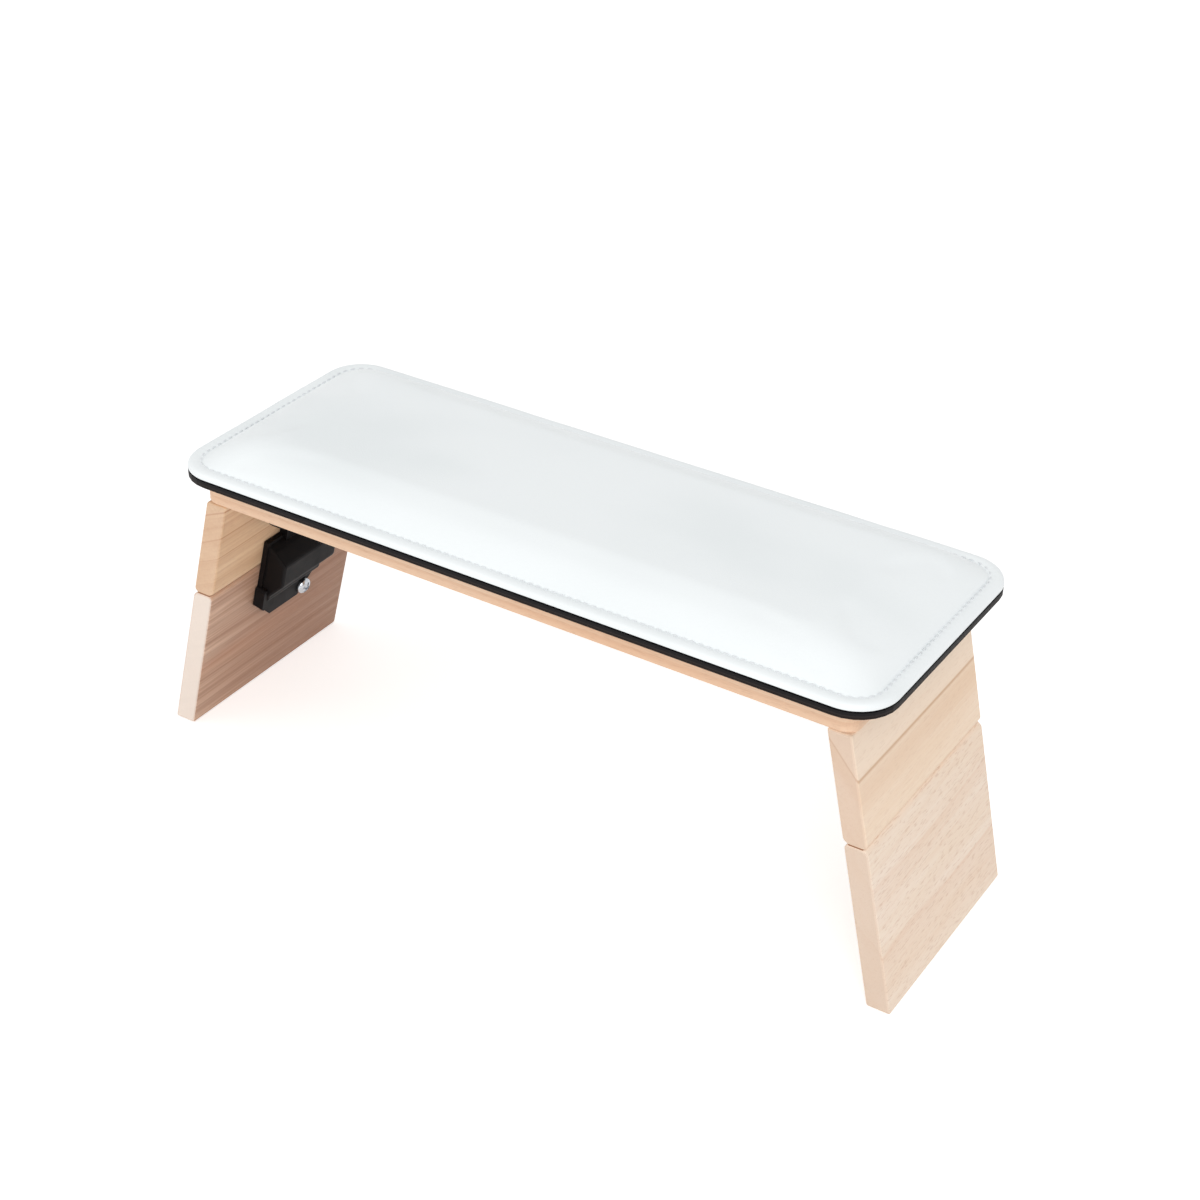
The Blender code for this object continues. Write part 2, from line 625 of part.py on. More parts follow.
def build_leg_bracket(side, frame, upper_board, lower_board):
    """Moulded leg bracket that turns on the pin and is screwed to the leg."""
    mesh = sheet_mesh(housing_outline(0.0), HOUSING_WIDTH, TO_XZ)
    bracket = add_part(f"{side}_leg_bracket", mesh, BLACK_MOULDING, frame, LEG_SPLAY)
    ease_edges(bracket, HOUSING_ROUNDING)
    additions = (("flange", flange_mesh()), ("tab", tab_mesh()),
                 ("neck", sheet_mesh(neck_outline(), KNUCKLE_WIDTH, TO_XZ)))
    for label, mesh in additions:
        boolean(bracket, add_cutter(f"{side}_{label}", mesh, frame, LEG_SPLAY), "UNION")
    hollow_housing(side, frame, bracket)
    bore = rod_mesh(PIN_RADIUS + HOLE_ROOM, -KNUCKLE_WIDTH, KNUCKLE_WIDTH, "Y")
    boolean(bracket, add_cutter(f"{side}_knuckle_bore", bore, frame, LEG_SPLAY))
    build_leg_screws(side, frame, bracket, upper_board, lower_board)


def build_side(side, turn, board):
    """One leg with its folding bracket. The right one is the left turned round."""
    frame = hinge_frame(side, turn)
    upper_board, lower_board = build_leg_boards(side, frame)
    build_board_bracket(side, frame, board)
    build_pin(side, frame)
    build_leg_bracket(side, frame, upper_board, lower_board)


clear_scene()
PARTS = make_collection("manicure_hand_rest")
CUTTERS = make_collection("cutters")
build_pad()
top_board = build_board()
build_side("left", 0.0, top_board)
build_side("right", math.pi, top_board)
bpy.context.view_layer.update()
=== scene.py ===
"""Dressed manicure hand rest: padded cover, wood, folding brackets, light and camera."""
import math

import bmesh
import bpy
from mathutils import Matrix, Vector, noise


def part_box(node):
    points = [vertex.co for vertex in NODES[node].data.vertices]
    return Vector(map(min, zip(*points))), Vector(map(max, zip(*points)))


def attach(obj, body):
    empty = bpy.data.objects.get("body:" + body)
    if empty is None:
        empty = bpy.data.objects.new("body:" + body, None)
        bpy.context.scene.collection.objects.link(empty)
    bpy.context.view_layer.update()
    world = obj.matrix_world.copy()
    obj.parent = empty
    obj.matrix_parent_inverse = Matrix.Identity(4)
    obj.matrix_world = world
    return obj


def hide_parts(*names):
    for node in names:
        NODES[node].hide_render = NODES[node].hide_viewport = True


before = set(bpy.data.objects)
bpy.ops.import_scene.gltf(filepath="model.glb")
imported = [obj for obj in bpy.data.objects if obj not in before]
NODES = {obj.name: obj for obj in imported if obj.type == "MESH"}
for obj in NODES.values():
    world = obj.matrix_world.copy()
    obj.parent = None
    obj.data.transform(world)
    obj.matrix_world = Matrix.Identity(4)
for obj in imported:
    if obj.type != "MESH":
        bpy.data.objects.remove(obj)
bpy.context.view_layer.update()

# Camera, from the photo
CAMERA_PLACE = (0.42418, -0.67914, 0.59567)
CAMERA_YAW = 31.254
CAMERA_PITCH = 31.831
CAMERA_ROLL = 1.773
CAMERA_LENS = 68.631
CAMERA_SENSOR = 36.0

# Pad cover
RIM_WIDTH = 0.0062
RIM_HEIGHT = 0.0031
RIM_ROUNDING = 0.0021
SEAM_DROP = 0.0007
CROWN_RUN_X = 0.030
CROWN_RUN_Y = 0.0225
CROWN_ROUNDING = 2.4
CROWN_DENT = 0.00035
CROWN_DENT_ROOM = 0.0003
PAD_CORNER = 0.018
STITCH_PITCH = 0.0036
STITCH_LENGTH = 0.0025
STITCH_INSET = 0.0006
THREAD_RADIUS = 0.00030
SWELL_LIMIT = 0.0006
SWELL_ROOM = 0.0006
SWELL_FRAMES = 20

# Legs
LEG_SPLAY = math.radians(13.0)
JOINT_GAP = 0.0003
# How far the painted joint shadow strip reaches beyond the joint
JOINT_SHADOW_BEAD = 0.0004

# Cross-recessed heads
CROSS_WIDTH = 0.17
CROSS_REACH = 0.60
CROSS_DEPTH = 0.45
SMALL_HEAD_HEIGHT = 0.0021
LARGE_HEAD_HEIGHT = 0.0029

# Light
SURROUND_LIGHT = 0.70
FLOOR_GLOW = 0.48
LAMP_AIM = (0.0, 0.0, 0.1)
KEY_PLACE = (0.95, -1.5, 1.25)
KEY_SIZE = 1.2
KEY_POWER = 14.5
FILL_PLACE = (-1.4, -1.3, 1.0)
FILL_SIZE = 1.4
FILL_POWER = 4.5


def shade(name):
    """A new material with its node tree and Principled shader."""
    made = bpy.data.materials.new(name)
    made.use_nodes = True
    return made, made.node_tree, made.node_tree.nodes["Principled BSDF"]


def node(tree, kind, settings=None, **inputs):
    """Adds a node. An input is a number, a colour or another node's socket, and i0 is the first by place."""
    made = tree.nodes.new(kind)
    for key, value in (settings or {}).items():
        setattr(made, key, value)
    for key, value in inputs.items():
        socket = made.inputs[int(key[1:])] if key[0] == "i" and key[1:].isdigit() else made.inputs[key]
        if isinstance(value, bpy.types.NodeSocket):
            tree.links.new(value, socket)
        else:
            socket.default_value = value
    return made


def mixed(tree, share, first, second):
    """Mixes two colours."""
    made = tree.nodes.new("ShaderNodeMix")
    made.data_type = "RGBA"
    for socket, value in ((made.inputs[0], share), (made.inputs[6], first), (made.inputs[7], second)):
        if isinstance(value, bpy.types.NodeSocket):
            tree.links.new(value, socket)
        else:
            socket.default_value = value
    return made.outputs[2]


def maths(tree, operation, first, second=0.0):
    """A Math node's result."""
    return node(tree, "ShaderNodeMath", {"operation": operation}, i0=first, i1=second).outputs[0]


def ramp(tree, value, stops, smooth=False):
    """Maps a value through a ramp of (place, grey) or (place, colour) stops."""
    made = tree.nodes.new("ShaderNodeValToRGB")
    tree.links.new(value, made.inputs[0])
    made.color_ramp.interpolation = "EASE" if smooth else "LINEAR"
    elements = made.color_ramp.elements
    while len(elements) < len(stops):
        elements.new(1.0)
    for element, (place, colour) in zip(elements, stops):
        element.position = place
        element.color = colour if hasattr(colour, "__len__") else (colour, colour, colour, 1.0)
    return made.outputs[0]


def scaled(tree, vector, scale, turn=(0.0, 0.0, 0.0), shift=(0.0, 0.0, 0.0)):
    """Moves, turns and stretches texture coordinates."""
    made = tree.nodes.new("ShaderNodeMapping")
    tree.links.new(vector, made.inputs["Vector"])
    made.inputs["Location"].default_value = shift
    made.inputs["Rotation"].default_value = turn
    made.inputs["Scale"].default_value = scale
    return made.outputs[0]


def clouds(tree, vector, detail=3.0, rough=0.55):
    """Noise at the scale of the given coordinates."""
    made = node(tree, "ShaderNodeTexNoise", None, Vector=vector, Scale=1.0, Detail=detail, Roughness=rough)
    return made.outputs[0]


def bump(tree, shader, height, strength, distance):
    """Raises the surface by a texture."""
    made = node(tree, "ShaderNodeBump", None, Strength=strength, Distance=distance, Height=height)
    tree.links.new(made.outputs[0], shader.inputs["Normal"])


def linear(red, green, blue):
    """Colour from 0 to 255 values on screen."""
    values = []
    for value in (red, green, blue):
        share = value / 255.0
        values.append(share / 12.92 if share <= 0.04045 else ((share + 0.055) / 1.055) ** 2.4)
    return (values[0], values[1], values[2], 1.0)


def wood(name, look):
    """Solid wood: growth rings, tone clouds, fibres and pores along the grain, and the look's own streaks, with an
    optional darkening from front to back that is painted shade.
    """
    made, tree, shader = shade(name)
    place = node(tree, "ShaderNodeTexCoord")
    turn = (0.0, 0.0, 0.0 if look["grain"] == "Y" else math.pi / 2.0)
    own = scaled(tree, place.outputs["Object"], (1.0, 1.0, 1.0), turn, look["shift"])
    wander = clouds(tree, scaled(tree, own, (26.0, 4.0, 26.0)), 2.0)
    across = node(tree, "ShaderNodeVectorMath", {"operation": "DOT_PRODUCT"}, i0=own)
    angle = look["ring_turn"]
    across.inputs[1].default_value = (math.cos(angle), 0.0, math.sin(angle))
    bent = maths(tree, "MULTIPLY_ADD", wander, look["warp"])
    tree.links.new(across.outputs["Value"], bent.node.inputs[2])
    rings = maths(tree, "FRACT", maths(tree, "MULTIPLY", bent, 1.0 / look["ring_gap"]))
    late = ramp(tree, rings, [(0.0, 0.15), (0.45, 0.0), (0.9, 0.75), (0.97, 1.0), (1.0, 0.15)])
    fine = maths(tree, "FRACT", maths(tree, "MULTIPLY", bent, 3.7 / look["ring_gap"]))
    fine_late = ramp(tree, fine, [(0.0, 0.0), (0.7, 0.15), (0.95, 1.0), (1.0, 0.0)])
    tone = ramp(tree, clouds(tree, scaled(tree, own, (48.0, 7.0, 48.0)), 3.0, 0.6), [(0.3, 0.0), (0.7, 1.0)])
    fibre = ramp(tree, clouds(tree, scaled(tree, own, (750.0, 14.0, 750.0)), 3.0, 0.6), [(0.35, 0.0), (0.7, 1.0)])
    pores = ramp(tree, clouds(tree, scaled(tree, own, (1700.0, 230.0, 1700.0)), 2.0, 0.5), [(0.56, 0.0), (0.66, 1.0)])
    colour = mixed(tree, tone, look["light"], look["dark"])
    colour = mixed(tree, maths(tree, "MULTIPLY", late, look["ring_share"]), colour, look["late"])
    colour = mixed(tree, maths(tree, "MULTIPLY", fine_late, look["ring_share"] * 0.4), colour, look["late"])
    colour = mixed(tree, maths(tree, "MULTIPLY", fibre, look["fibre_share"]), colour, look["late"])
    for place_share, width, share, streak in look.get("bands", ()):
        gap = maths(tree, "SUBTRACT", bent, place_share)
        soft = ramp(tree, maths(tree, "ABSOLUTE", maths(tree, "DIVIDE", gap, width)), [(0.0, 1.0), (1.0, 0.0)], True)
        colour = mixed(tree, maths(tree, "MULTIPLY", soft, share), colour, streak)
    # Darkening from front to back over the board's depth: painted shade that deepens further under the top board.
    if "along" in look:
        start, stop, share, tint = look["along"]
        split = node(tree, "ShaderNodeSeparateXYZ", None, i0=place.outputs["Object"])
        drift = maths(tree, "MULTIPLY_ADD", wander, 0.05)
        tree.links.new(split.outputs[1], drift.node.inputs[2])
        side = maths(tree, "DIVIDE", maths(tree, "SUBTRACT", drift, start), stop - start)
        colour = mixed(tree, maths(tree, "MULTIPLY", ramp(tree, side, [(0.0, 0.0), (1.0, 1.0)], True), share), colour,
                       tint)
    if "above" in look:
        edge, width, share, tint = look["above"]
        side = ramp(tree, maths(tree, "DIVIDE", maths(tree, "SUBTRACT", bent, edge), width), [(0.0, 0.0), (1.0, 1.0)])
        colour = mixed(tree, maths(tree, "MULTIPLY", side, share), colour, tint)
    colour = mixed(tree, maths(tree, "MULTIPLY", pores, look["pore_share"]), colour, look["pore"])
    facing = node(tree, "ShaderNodeSeparateXYZ", None, i0=place.outputs["Normal"])
    along = facing.outputs[1 if look["grain"] == "Y" else 0]
    end = ramp(tree, maths(tree, "ABSOLUTE", along), [(0.75, 0.0), (0.98, 1.0)])
    colour = mixed(tree, maths(tree, "MULTIPLY", end, look["end_share"]), colour, look["end"])
    tree.links.new(colour, shader.inputs["Base Color"])
    dull = maths(tree, "MULTIPLY_ADD", fibre, 0.12)
    dull.node.inputs[2].default_value = 0.46
    tree.links.new(dull, shader.inputs["Roughness"])
    shader.inputs["Specular IOR Level"].default_value = 0.35
    shader.inputs["Coat Weight"].default_value = 0.06
    shader.inputs["Coat Roughness"].default_value = 0.4
    height = maths(tree, "SUBTRACT", maths(tree, "MULTIPLY", fibre, 0.5), pores)
    bump(tree, shader, height, 0.35, 0.00012)
    return made


def leather(name, base, shadow):
    """White coated leather: fine pebble, soft sheen, soft clouds of painted shade and reflection, and painted shade in
    the pebble's grooves.
    """
    made, tree, shader = shade(name)
    place = node(tree, "ShaderNodeTexCoord").outputs["Object"]
    cells = node(tree, "ShaderNodeTexVoronoi", {"feature": "DISTANCE_TO_EDGE"}, Vector=place, Scale=950.0,
                 Randomness=1.0)
    pebble = ramp(tree, cells.outputs[0], [(0.0, 0.0), (0.25, 1.0)], True)
    # Soft clouds towards the shadow colour: painted shade and cool reflection patches on the white cover.
    soft = clouds(tree, scaled(tree, place, (9.0, 14.0, 9.0)), 2.0)
    tone = ramp(tree, soft, [(0.35, 0.0), (0.7, 1.0)], True)
    colour = mixed(tree, tone, base, shadow)
    # The pebble's grooves are drawn a little towards the shadow colour: painted shade in the grooves.
    pebble_groove_shade = maths(tree, "MULTIPLY_ADD", pebble, -0.05)
    pebble_groove_shade.node.inputs[2].default_value = 0.05
    colour = mixed(tree, pebble_groove_shade, colour, shadow)
    tree.links.new(colour, shader.inputs["Base Color"])
    gloss = ramp(tree, clouds(tree, scaled(tree, place, (60.0, 60.0, 60.0)), 4.0), [(0.3, 0.36), (0.7, 0.46)])
    tree.links.new(gloss, shader.inputs["Roughness"])
    shader.inputs["Specular IOR Level"].default_value = 0.45
    shader.inputs["Coat Weight"].default_value = 0.12
    shader.inputs["Coat Roughness"].default_value = 0.3
    waves = clouds(tree, scaled(tree, place, (240.0, 240.0, 240.0)), 2.0)
    height = maths(tree, "MULTIPLY_ADD", waves, 0.6)
    tree.links.new(pebble, height.node.inputs[2])
    bump(tree, shader, height, 0.3, 0.00005)
    return made


def moulding(name, base, worn, rough):
    """Black coated or moulded surface, with a fine texture and paler rubbed edges."""
    made, tree, shader = shade(name)
    place = node(tree, "ShaderNodeTexCoord").outputs["Object"]
    spark = clouds(tree, scaled(tree, place, (1800.0, 1800.0, 1800.0)), 2.0)
    smear = clouds(tree, scaled(tree, place, (90.0, 90.0, 90.0)), 4.0, 0.6)
    point = node(tree, "ShaderNodeNewGeometry").outputs["Pointiness"]
    edge = ramp(tree, point, [(0.52, 0.0), (0.6, 1.0)])
    colour = mixed(tree, maths(tree, "MULTIPLY", edge, maths(tree, "MULTIPLY", smear, 0.5)), base, worn)
    tree.links.new(colour, shader.inputs["Base Color"])
    gloss = ramp(tree, smear, [(0.3, rough), (0.7, rough + 0.14)])
    tree.links.new(gloss, shader.inputs["Roughness"])
    shader.inputs["Specular IOR Level"].default_value = 0.12
    bump(tree, shader, spark, 0.25, 0.00004)
    return made


def metal(name, base, rough, streak):
    """Plated metal with fine turning marks."""
    made, tree, shader = shade(name)
    place = node(tree, "ShaderNodeTexCoord").outputs["Object"]
    marks = clouds(tree, scaled(tree, place, (400.0, 400.0, 2600.0)), 3.0)
    tree.links.new(mixed(tree, marks, base, streak), shader.inputs["Base Color"])
    tree.links.new(ramp(tree, marks, [(0.3, rough), (0.7, rough + 0.12)]), shader.inputs["Roughness"])
    shader.inputs["Metallic"].default_value = 1.0
    return made


def backing(name):
    """Black edge of the pad: its tone changes with height, and its one paler line along the middle is a painted
    highlight.
    """
    made, tree, shader = shade(name)
    place = node(tree, "ShaderNodeTexCoord").outputs["Object"]
    split = node(tree, "ShaderNodeSeparateXYZ", None, i0=place)
    low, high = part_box("pad_backing")
    lift = maths(tree, "SUBTRACT", split.outputs[2], low[2])
    share = maths(tree, "DIVIDE", lift, high[2] - low[2])
    # Tones by height; the paler stop at 0.45 is a painted highlight along the edge's middle.
    layers = ramp(tree, share, [(0.0, linear(22, 15, 12)), (0.3, linear(25, 18, 15)), (0.45, linear(44, 38, 37)),
                                (0.6, linear(16, 14, 16)), (1.0, linear(9, 9, 13))])
    fuzz = clouds(tree, scaled(tree, place, (900.0, 900.0, 900.0)), 3.0)
    colour = mixed(tree, maths(tree, "MULTIPLY", fuzz, 0.3), layers, linear(36, 31, 29))
    tree.links.new(colour, shader.inputs["Base Color"])
    tree.links.new(ramp(tree, fuzz, [(0.3, 0.5), (0.7, 0.7)]), shader.inputs["Roughness"])
    shader.inputs["Specular IOR Level"].default_value = 0.15
    bump(tree, shader, fuzz, 0.4, 0.0001)
    return made


def thread_look(name):
    """Twisted white thread, its two tones set a little grey as painted shade of the stitch line."""
    made, tree, shader = shade(name)
    place = node(tree, "ShaderNodeTexCoord").outputs["Object"]
    twist = clouds(tree, scaled(tree, place, (2500.0, 2500.0, 2500.0)), 2.0)
    # Both thread tones sit a little greyer than the cover: painted shade of the stitches and their holes.
    colour = mixed(tree, twist, linear(236, 238, 240), linear(220, 223, 226))
    tree.links.new(colour, shader.inputs["Base Color"])
    shader.inputs["Roughness"].default_value = 0.7
    bump(tree, shader, twist, 0.5, 0.0001)
    return made


def piece(name, mesh, look, body="rest"):
    """A new piece of the object that rides on a body."""
    made = bpy.data.objects.new(name, mesh)
    bpy.context.scene.collection.objects.link(made)
    mesh.materials.append(look)
    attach(made, body)
    return made


def ring_points(half_x, half_y, radius, pitch):
    """Even points round a rounded rectangle, each with its outward direction."""
    points = []
    sides = (((half_x, -half_y + radius), (half_x, half_y - radius), (1, 0), (half_x - radius, half_y - radius), 0.0),
             ((half_x - radius, half_y), (-half_x + radius, half_y), (0, 1), (-half_x + radius, half_y - radius), 90.0),
             ((-half_x, half_y - radius), (-half_x, -half_y + radius), (-1, 0),
              (-half_x + radius, -half_y + radius), 180.0),
             ((-half_x + radius, -half_y), (half_x - radius, -half_y), (0, -1),
              (half_x - radius, -half_y + radius), 270.0))
    for start, end, out, centre, first in sides:
        length = math.dist(start, end)
        count = max(2, round(length / pitch))
        for step in range(count):
            share = step / count
            place = Vector((start[0] + (end[0] - start[0]) * share, start[1] + (end[1] - start[1]) * share, 0.0))
            points.append((place, Vector((out[0], out[1], 0.0))))
        count = max(4, round(radius * math.pi / 2.0 / pitch))
        for step in range(count):
            angle = math.radians(first + 90.0 * step / count)
            out_there = Vector((math.cos(angle), math.sin(angle), 0.0))
            points.append((Vector((centre[0], centre[1], 0.0)) + out_there * radius, out_there))
    return points


def pad_sizes():
    """The pad's middle, half length and depth, the cover's bottom and the crown's top."""
    low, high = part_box("pad_cover")
    return (low[0] + high[0]) / 2.0, (high[0] - low[0]) / 2.0, (high[1] - low[1]) / 2.0, low[2], high[2]


def make_rim(look):
    """The cover's flat sewn edge, rounded outside and pulled down at the seam."""
    middle, half_x, half_y, bottom, _ = pad_sizes()
    section = [(0.0003, 0.0), (0.0, 0.0005)]
    for step in range(5):
        angle = math.radians(180.0 - 90.0 * step / 4)
        section.append((RIM_ROUNDING + RIM_ROUNDING * math.cos(angle),
                        RIM_HEIGHT - RIM_ROUNDING + RIM_ROUNDING * math.sin(angle)))
    inner = RIM_WIDTH + 0.0011
    section += [(RIM_WIDTH - 0.0033, RIM_HEIGHT + 0.00010), (RIM_WIDTH - 0.0022, RIM_HEIGHT),
                (RIM_WIDTH - 0.0013, RIM_HEIGHT - SEAM_DROP * 0.35), (RIM_WIDTH - 0.0005, RIM_HEIGHT - SEAM_DROP * 0.8),
                (RIM_WIDTH + 0.0002, RIM_HEIGHT - SEAM_DROP * 1.1), (inner, RIM_HEIGHT - SEAM_DROP * 2.0), (inner, 0.0)]
    stations = ring_points(half_x, half_y, PAD_CORNER, STITCH_PITCH / 3.0)
    bm = bmesh.new()
    rows = []
    for index, (point, out) in enumerate(stations):
        pucker = 0.00010 * math.cos(2.0 * math.pi * index / 3.0)
        row = []
        for inset, height in section:
            weight = math.exp(-((inset - RIM_WIDTH + 0.0017) / 0.0018) ** 2)
            wave = noise.noise(point * 38.0) * 0.00016 if height > RIM_HEIGHT * 0.6 else 0.0
            lift = Vector((middle, 0.0, bottom + height + wave - pucker * weight))
            row.append(bm.verts.new(point - out * inset + lift))
        rows.append(row)
    for index, row in enumerate(rows):
        after = rows[(index + 1) % len(rows)]
        for step in range(len(section)):
            other = (step + 1) % len(section)
            bm.faces.new((row[step], row[other], after[other], after[step]))
    bmesh.ops.recalc_face_normals(bm, faces=bm.faces)
    mesh = bpy.data.meshes.new("pad_rim")
    bm.to_mesh(mesh)
    bm.free()
    mesh.shade_smooth()
    made = piece("pad_rim", mesh, look)
    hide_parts("pad_cover")
    step = made.modifiers.new("smooth", "SUBSURF")
    step.levels = 1
    step.render_levels = 1
    return made


def crown_rise(share):
    """Height of the crown for a distance in from the seam, as shares."""
    return 1.0 - (1.0 - min(1.0, max(0.0, share))) ** CROWN_ROUNDING


def cushion_mesh():
    """Crowned grid inside the seam. Its border is a rounded rectangle."""
    middle, half_x, half_y, bottom, top = pad_sizes()
    reach_x = half_x - RIM_WIDTH
    reach_y = half_y - RIM_WIDTH
    corner = PAD_CORNER - RIM_WIDTH
    base = bottom + RIM_HEIGHT - SEAM_DROP
    columns, lines = 104, 40
    bm = bmesh.new()
    grid = []
    for line in range(lines + 1):
        row = []
        for column in range(columns + 1):
            u = math.sin(math.pi * 0.5 * (2.0 * column / columns - 1.0)) * 0.35 + (2.0 * column / columns - 1.0) * 0.65
            v = math.sin(math.pi * 0.5 * (2.0 * line / lines - 1.0)) * 0.35 + (2.0 * line / lines - 1.0) * 0.65
            x, y = u * reach_x, v * reach_y
            rise = crown_rise((reach_x - abs(x)) / CROWN_RUN_X) * crown_rise((reach_y - abs(y)) / CROWN_RUN_Y)
            p = (abs(x) - reach_x + corner) / corner
            q = (abs(y) - reach_y + corner) / corner
            if p > 0.0 and q > 0.0:
                x = math.copysign(reach_x - corner + corner * p * math.sqrt(1.0 - q * q / 2.0), x)
                y = math.copysign(reach_y - corner + corner * q * math.sqrt(1.0 - p * p / 2.0), y)
            row.append(bm.verts.new((middle + x, y, base + rise * (top - SWELL_ROOM - base))))
        grid.append(row)
    for line in range(lines):
        for column in range(columns):
            bm.faces.new((grid[line][column], grid[line][column + 1], grid[line + 1][column + 1],
                          grid[line + 1][column]))
    mesh = bpy.data.meshes.new("pad_cushion")
    bm.to_mesh(mesh)
    bm.free()
    return mesh


def inflate(made, cap):
    """Swells the drawn crown as cloth, held at the seam. No point moves further than the cap."""
    mesh = made.data
    before = [vertex.co.copy() for vertex in mesh.vertices]
    links = bmesh.new()
    links.from_mesh(mesh)
    border = [vertex.index for vertex in links.verts if vertex.is_boundary]
    links.free()
    held = made.vertex_groups.new(name="seam")
    held.add(border, 1.0, "REPLACE")
    cloth = made.modifiers.new("cover", "CLOTH")
    cloth.settings.quality = 6
    cloth.settings.mass = 0.25
    cloth.settings.tension_stiffness = 25.0
    cloth.settings.compression_stiffness = 25.0
    cloth.settings.shear_stiffness = 12.0
    cloth.settings.bending_stiffness = 4.0
    cloth.settings.use_pressure = True
    cloth.settings.uniform_pressure_force = 4.0
    cloth.settings.vertex_group_mass = "seam"
    cloth.settings.effector_weights.gravity = 0.0
    cloth.collision_settings.use_self_collision = False
    cloth.point_cache.frame_start = 1
    cloth.point_cache.frame_end = SWELL_FRAMES
    for step in range(1, SWELL_FRAMES + 1):
        bpy.context.scene.frame_set(step)
    shown = made.evaluated_get(bpy.context.evaluated_depsgraph_get())
    after = [vertex.co.copy() for vertex in shown.data.vertices]
    made.modifiers.remove(cloth)
    made.vertex_groups.remove(held)
    bpy.context.scene.frame_set(1)
    for vertex, old, new in zip(mesh.vertices, before, after):
        move = new - old
        if move.length > cap:
            move *= cap / move.length
        vertex.co = old + move
    mesh.update()


def make_cushion(look):
    """The padded top: a drawn crown, swelled a little as cloth, over a flat underside."""
    _, _, _, bottom, top = pad_sizes()
    mesh = cushion_mesh()
    made = piece("pad_cushion", mesh, look)
    inflate(made, SWELL_LIMIT)
    peak = max(vertex.co.z for vertex in mesh.vertices)
    base = bottom + RIM_HEIGHT - SEAM_DROP
    for vertex in mesh.vertices:
        share = (vertex.co.z - base) / (peak - base)
        dent = noise.noise(Vector((vertex.co.x * 14.0, vertex.co.y * 20.0, 3.0))) * CROWN_DENT * share
        vertex.co.z = base + share * (top - CROWN_DENT_ROOM - base) + dent
    bm = bmesh.new()
    bm.from_mesh(mesh)
    crease = bm.edges.layers.float.new("crease_edge")
    under = bmesh.ops.duplicate(bm, geom=bm.verts[:] + bm.edges[:] + bm.faces[:])
    for item in under["geom"]:
        if isinstance(item, bmesh.types.BMVert):
            item.co.z = bottom
    border = [edge for edge in bm.edges if edge.is_boundary]
    for edge in border:
        edge[crease] = 1.0
    bmesh.ops.bridge_loops(bm, edges=border)
    bmesh.ops.recalc_face_normals(bm, faces=bm.faces)
    bm.to_mesh(mesh)
    bm.free()
    mesh.shade_smooth()
    mesh.set_sharp_from_angle(angle=math.radians(60.0))
    step = made.modifiers.new("smooth", "SUBSURF")
    step.levels = 1
    step.render_levels = 1
    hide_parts("pad_cover", "pad_foam")
    return made


def make_stitches(look):
    """Threads along the seam, each a short bowed capsule that dips into its holes."""
    middle, half_x, half_y, bottom, _ = pad_sizes()
    inset = RIM_WIDTH - STITCH_INSET
    stations = ring_points(half_x - inset, half_y - inset, PAD_CORNER - inset, STITCH_PITCH)
    bm = bmesh.new()
    height = bottom + RIM_HEIGHT - SEAM_DROP * 0.45
    sections, sides = 7, 8
    for index, (point, out) in enumerate(stations):
        along = Vector((-out.y, out.x, 0.0))
        lean = 0.06 * math.sin(index * 2.4)
        heading = (along + out * lean).normalized()
        side = Vector((heading.y, -heading.x, 0.0))
        rows = []
        for section in range(sections):
            share = 2.0 * section / (sections - 1) - 1.0
            girth = THREAD_RADIUS * math.sqrt(max(0.05, 1.0 - share ** 4))
            centre = point + heading * share * STITCH_LENGTH / 2.0
            centre.x += middle
            centre.z = height - 0.00022 * share * share
            ring = []
            for step in range(sides):
                angle = 2.0 * math.pi * step / sides
                ring.append(bm.verts.new(centre + side * math.cos(angle) * girth
                                         + Vector((0, 0, math.sin(angle) * girth))))
            rows.append(ring)
        for lower, upper in zip(rows, rows[1:]):
            for step in range(sides):
                other = (step + 1) % sides
                bm.faces.new((lower[step], lower[other], upper[other], upper[step]))
        bm.faces.new(list(reversed(rows[0])))
        bm.faces.new(rows[-1])
    bmesh.ops.recalc_face_normals(bm, faces=bm.faces)
    mesh = bpy.data.meshes.new("pad_stitching")
    bm.to_mesh(mesh)
    bm.free()
    mesh.shade_smooth()
    return piece("pad_stitching", mesh, look)


def make_joint_shadow():
    """A brown strip in the open joint between the two boards of each leg, a painted shadow of the joint."""
    look, _, shader = shade("painted_joint_shadow")
    # Brown colour of the painted shadow in the joint
    shader.inputs["Base Color"].default_value = linear(150, 100, 66)
    shader.inputs["Roughness"].default_value = 0.6
    for side in ("left", "right"):
        upper = NODES[f"{side}_leg_upper_board"]
        points = [upper.matrix_world @ vertex.co for vertex in upper.data.vertices]
        low = min(point.z for point in points)
        foot = [point for point in points if point.z < low + 0.00005]
        spread = Vector((JOINT_SHADOW_BEAD, JOINT_SHADOW_BEAD, JOINT_SHADOW_BEAD))
        near = Vector((min(point.x for point in foot), min(point.y for point in foot), low - JOINT_GAP)) - spread
        far = Vector((max(point.x for point in foot), max(point.y for point in foot), low)) + spread
        bm = bmesh.new()
        bmesh.ops.create_cube(bm, size=1.0)
        for vertex in bm.verts:
            vertex.co = (near + far) / 2.0 + Vector([a * b for a, b in zip(vertex.co, far - near)])
        mesh = bpy.data.meshes.new(f"{side}_leg_joint_shadow_line")
        bm.to_mesh(mesh)
        bm.free()
        piece(f"{side}_leg_joint_shadow_line", mesh, look, f"{side}_leg")


def dress(name, look):
    """Gives a CAD node its finished material."""
    target = NODES[name]
    target.data.materials.clear()
    target.data.materials.append(look)


